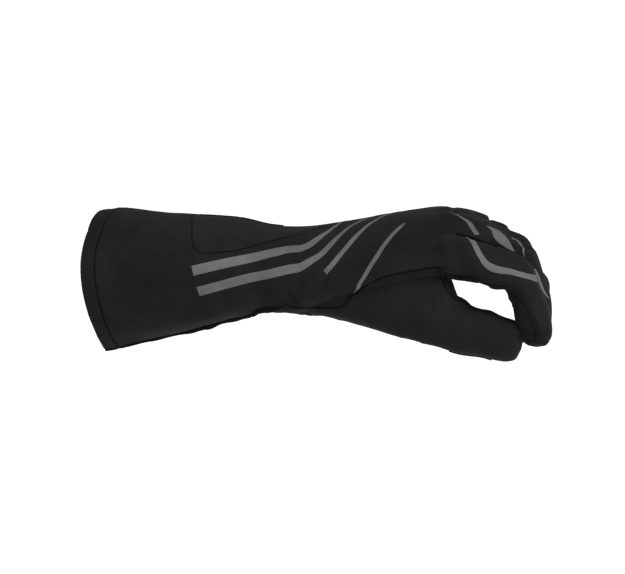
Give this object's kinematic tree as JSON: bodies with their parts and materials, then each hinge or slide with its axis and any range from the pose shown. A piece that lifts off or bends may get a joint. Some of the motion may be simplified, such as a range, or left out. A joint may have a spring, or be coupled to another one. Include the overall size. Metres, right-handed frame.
{
  "type": "karting glove",
  "caption": "Long-cuff karting glove for the left hand in black stretch fabric with plain grey stripes, worn form with bent fingers.",
  "frame": {"origin": "centre of the wrist, where the glove is held", "axes": "+X from the cuff to the fingers, +Z out of the back of the hand, -Y towards the thumb"},
  "size_m": [0.2711, 0.1008, 0.0816],
  "materials": {
    "knit_shell": "matt fine knit",
    "suede_palm": "matt suede",
    "stretch_panel": "matt ribbed stretch",
    "hem_band": "matt folded band",
    "grey_print": "matt printed grey"
  },
  "bodies": {
    "root": {"cuff_hem": "hem_band", "gauntlet_back": "knit_shell", "gauntlet_palm": "knit_shell", "wrist_stretch_panel": "stretch_panel", "hand_back": "knit_shell", "palm": "suede_palm", "thumb_outer": "knit_shell", "thumb_inner": "suede_palm", "index_finger_back": "knit_shell", "index_finger_palm": "suede_palm", "middle_finger_back": "knit_shell", "middle_finger_palm": "suede_palm", "ring_finger_back": "knit_shell", "ring_finger_palm": "suede_palm", "little_finger_back": "knit_shell", "little_finger_palm": "suede_palm"}
  },
  "joints": []
}
